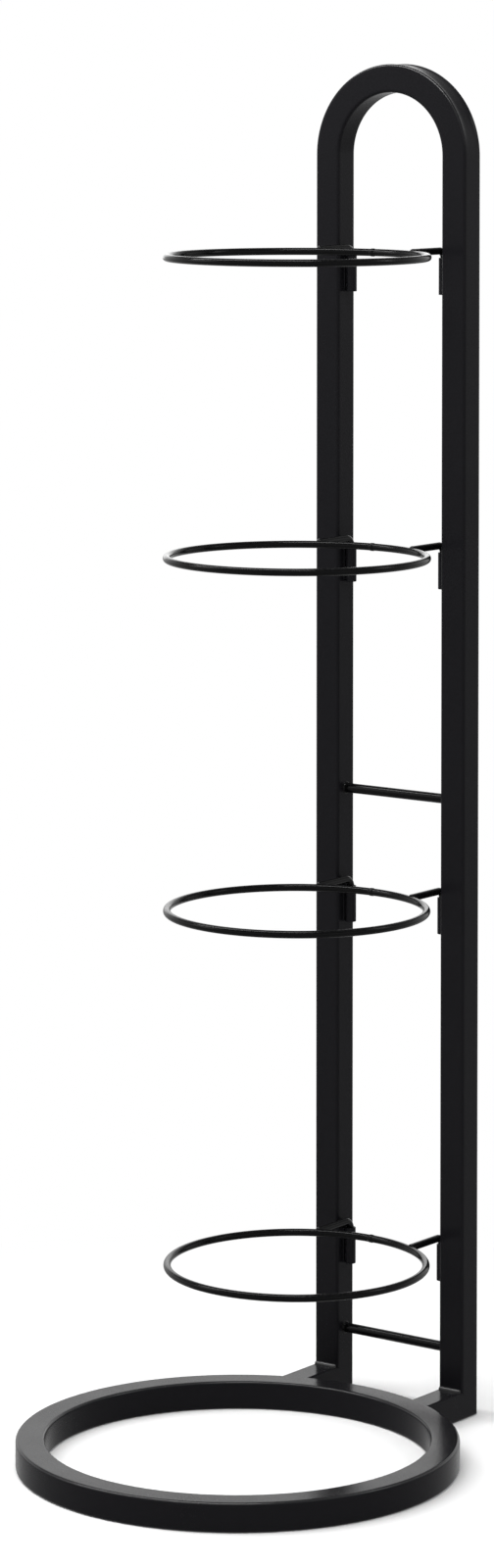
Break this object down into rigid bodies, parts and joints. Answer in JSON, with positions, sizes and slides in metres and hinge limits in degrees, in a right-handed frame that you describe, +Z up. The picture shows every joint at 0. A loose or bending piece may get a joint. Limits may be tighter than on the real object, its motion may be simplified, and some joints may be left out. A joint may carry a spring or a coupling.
{
  "type": "ball storage rack",
  "caption": "Free-standing upright rack for sports balls: a floor ring of square tube, a tall tube hoop and open wire rings, one above another, that lift out of sockets.",
  "frame": {"origin": "on the floor, under the middle of the rack's bounding box", "axes": "+Z up, -Y towards the front, where the floor ring and the ball rings are, +X to the right as seen from the front"},
  "size_m": [0.35, 0.4026, 1.102],
  "materials": {
    "frame_coat": "satin black powder coat with a fine orange-peel grain",
    "wire_coat": "semi-gloss black powder coat on round wire and rod"
  },
  "bodies": {
    "frame": {"base_ring": "frame_coat", "foot_left": "frame_coat", "foot_right": "frame_coat", "hoop_frame": "frame_coat", "crossbar_lower": "wire_coat", "crossbar_middle": "wire_coat", "socket_1_left": "frame_coat", "socket_1_right": "frame_coat", "socket_2_left": "frame_coat", "socket_2_right": "frame_coat", "socket_3_left": "frame_coat", "socket_3_right": "frame_coat", "socket_4_left": "frame_coat", "socket_4_right": "frame_coat"},
    "ball_ring_1": {"ball_ring_1": "wire_coat", "ring_leg_1_left": "wire_coat", "ring_leg_1_right": "wire_coat"},
    "ball_ring_2": {"ball_ring_2": "wire_coat", "ring_leg_2_left": "wire_coat", "ring_leg_2_right": "wire_coat"},
    "ball_ring_3": {"ball_ring_3": "wire_coat", "ring_leg_3_left": "wire_coat", "ring_leg_3_right": "wire_coat"},
    "ball_ring_4": {"ball_ring_4": "wire_coat", "ring_leg_4_left": "wire_coat", "ring_leg_4_right": "wire_coat"}
  },
  "joints": [
    {"name": "ball_ring_1_lift", "type": "slide", "parent": "frame", "child": "ball_ring_1", "axis": [0, 0, 1], "range_m": [0, 0.031]},
    {"name": "ball_ring_2_lift", "type": "slide", "parent": "frame", "child": "ball_ring_2", "axis": [0, 0, 1], "range_m": [0, 0.031]},
    {"name": "ball_ring_3_lift", "type": "slide", "parent": "frame", "child": "ball_ring_3", "axis": [0, 0, 1], "range_m": [0, 0.031]},
    {"name": "ball_ring_4_lift", "type": "slide", "parent": "frame", "child": "ball_ring_4", "axis": [0, 0, 1], "range_m": [0, 0.031]}
  ]
}
